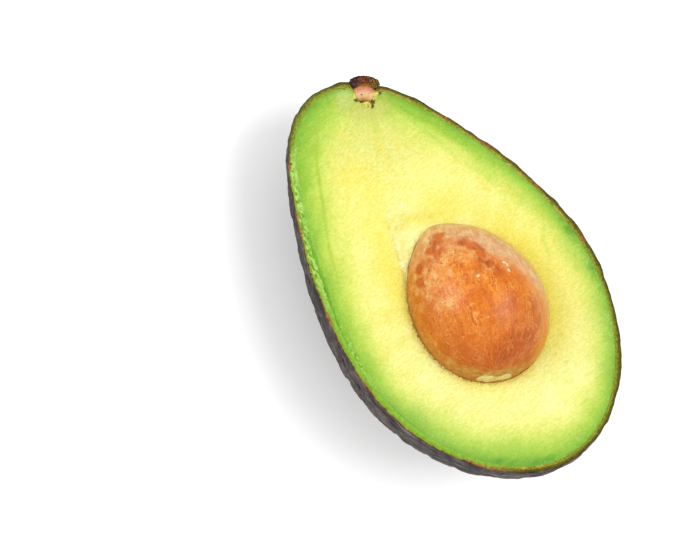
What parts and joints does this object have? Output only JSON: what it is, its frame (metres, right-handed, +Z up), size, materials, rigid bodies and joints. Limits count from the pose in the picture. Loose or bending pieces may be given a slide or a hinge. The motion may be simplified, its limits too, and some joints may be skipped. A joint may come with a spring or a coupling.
{
  "type": "avocado half with its seed",
  "caption": "Pear-shaped fresh fruit cut in half lengthwise through its stem, with pebbled dark skin, soft yellow-green flesh and the whole seed still in place.",
  "frame": {"origin": "middle of the small flat spot on the underside, which the half lies on", "axes": "+Z up, +Y along the fruit towards the stem end; the cut face looks up, with its stem end lower by 9.5 degrees"},
  "size_m": [0.0665, 0.1049, 0.0495],
  "materials": {
    "skin": "dark purple-brown pebbled rind with a dull sheen",
    "flesh": "moist and soft, yellow round the seed and green towards the skin",
    "seed": "smooth orange-brown with a thin papery coat in patches",
    "stem": "dry cork over pinkish wood"
  },
  "bodies": {
    "root": {"skin": "skin", "flesh": "flesh", "seed": "seed", "stem": "stem"}
  },
  "joints": []
}
